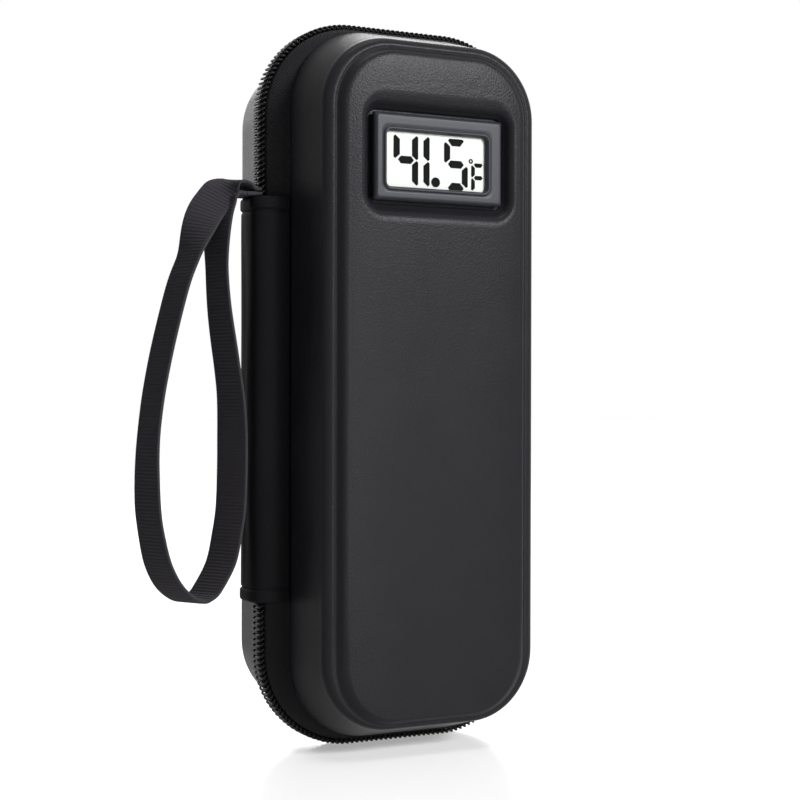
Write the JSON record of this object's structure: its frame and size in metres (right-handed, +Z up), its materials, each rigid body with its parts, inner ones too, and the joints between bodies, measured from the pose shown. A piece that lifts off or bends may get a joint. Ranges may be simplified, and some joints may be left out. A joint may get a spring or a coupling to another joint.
{
  "type": "insulin cooling case",
  "caption": "Zipped clamshell case that keeps insulin pens cool, with gel packs, a thermometer display in the lid, a folding spine and a wrist strap.",
  "frame": {"origin": "middle of the lowest edge of the zip, on which the closed case stands upright", "axes": "+X to the right of a viewer who faces the display, -Y towards that viewer, +Z up"},
  "size_m": [0.1472, 0.0696, 0.2444],
  "materials": {
    "moulded_leather": "fine-grained matt synthetic leather",
    "spine_leather": "fine-grained satin synthetic leather",
    "zip_tape": "dense twill weave",
    "zip_coil": "satin nylon coil",
    "webbing": "ribbed grosgrain",
    "lining_fabric": "brushed knit",
    "foil_liner": "crinkled foil on foam",
    "gel_pack": "clear film over blue gel",
    "pocket_mesh": "open knit mesh",
    "elastic": "ribbed elastic",
    "bezel_plastic": "satin slate grey",
    "module_plastic": "fine spark texture",
    "lcd": "grey reflective display",
    "circuit": "green solder mask",
    "component_black": "moulded epoxy",
    "rubber_black": "matt",
    "bright_steel": "bright",
    "black_metal": "black satin enamel"
  },
  "bodies": {
    "rear_half": {"rear_shell": "moulded_leather", "rear_liner": "foil_liner", "rear_band": "zip_tape", "rear_coil": "zip_coil", "spine_flap_rear": "spine_leather", "rear_gel_pack": "gel_pack", "pen_panel": "lining_fabric", "pen_strap_upper": "elastic", "pen_strap_lower": "elastic"},
    "spine": {"spine_panel": "spine_leather", "spine_lining": "lining_fabric", "strap_tab": "webbing"},
    "front_half": {"front_shell": "moulded_leather", "front_liner": "foil_liner", "front_band": "zip_tape", "front_coil": "zip_coil", "spine_flap_front": "spine_leather", "front_gel_pack": "gel_pack", "mesh_pocket": "pocket_mesh", "pocket_binding": "elastic", "retaining_frame": "module_plastic", "thermometer_housing": "module_plastic", "display_bezel": "bezel_plastic", "lcd_panel": "lcd", "zebra_strip_upper": "rubber_black", "zebra_strip_lower": "rubber_black", "circuit_board": "circuit", "driver_chip": "component_black", "tact_switch": "component_black", "coin_cell_left": "bright_steel", "coin_cell_right": "bright_steel", "cell_cradle": "module_plastic", "cell_contact": "bright_steel", "temperature_sensor": "bright_steel", "sensor_grommet": "rubber_black"},
    "wrist_strap": {"wrist_strap": "webbing"},
    "slider_upper": {"zip_slider_upper": "black_metal"},
    "slider_lower": {"zip_slider_lower": "black_metal"},
    "pull_upper": {"zip_pull_upper": "black_metal"},
    "pull_lower": {"zip_pull_lower": "black_metal"},
    "battery_door": {"battery_door": "module_plastic"},
    "unit_button": {"unit_button": "rubber_black"}
  },
  "joints": [
    {"name": "spine_fold_rear", "type": "hinge", "parent": "rear_half", "child": "spine", "pos_m": [-0.055, 0.0075, 0.1171], "axis": [0, 0, -1], "range_deg": [0, 86]},
    {"name": "spine_fold_front", "type": "hinge", "parent": "spine", "child": "front_half", "pos_m": [-0.055, -0.0075, 0.1171], "axis": [0, 0, -1], "range_deg": [0, 86]},
    {"name": "strap_swing", "type": "hinge", "parent": "spine", "child": "wrist_strap", "pos_m": [-0.0564, 0, 0.18915], "axis": [0, 1, 0], "range_deg": [0, 100]},
    {"name": "slider_upper_run", "type": "slide", "parent": "rear_half", "child": "slider_upper", "axis": [0, 0, 1], "range_m": [0, 0.07]},
    {"name": "slider_lower_run", "type": "slide", "parent": "rear_half", "child": "slider_lower", "axis": [0, 0, -1], "range_m": [0, 0.08]},
    {"name": "pull_upper_swing", "type": "hinge", "parent": "slider_upper", "child": "pull_upper", "pos_m": [0.0535, 0, 0.13751], "axis": [0, -1, 0], "range_deg": [0, 160]},
    {"name": "pull_lower_swing", "type": "hinge", "parent": "slider_lower", "child": "pull_lower", "pos_m": [0.0535, 0, 0.11849], "axis": [0, -1, 0], "range_deg": [0, 160]},
    {"name": "battery_door_slide", "type": "slide", "parent": "front_half", "child": "battery_door", "axis": [0, 0, -1], "range_m": [0, 0.01]},
    {"name": "unit_button_press", "type": "slide", "parent": "front_half", "child": "unit_button", "axis": [0, -1, 0], "range_m": [0, 0.0006], "stiffness_N_per_m": 800}
  ],
  "couplings": [
    {"joint": "spine_fold_front", "follows": "spine_fold_rear", "ratio": 1}
  ]
}
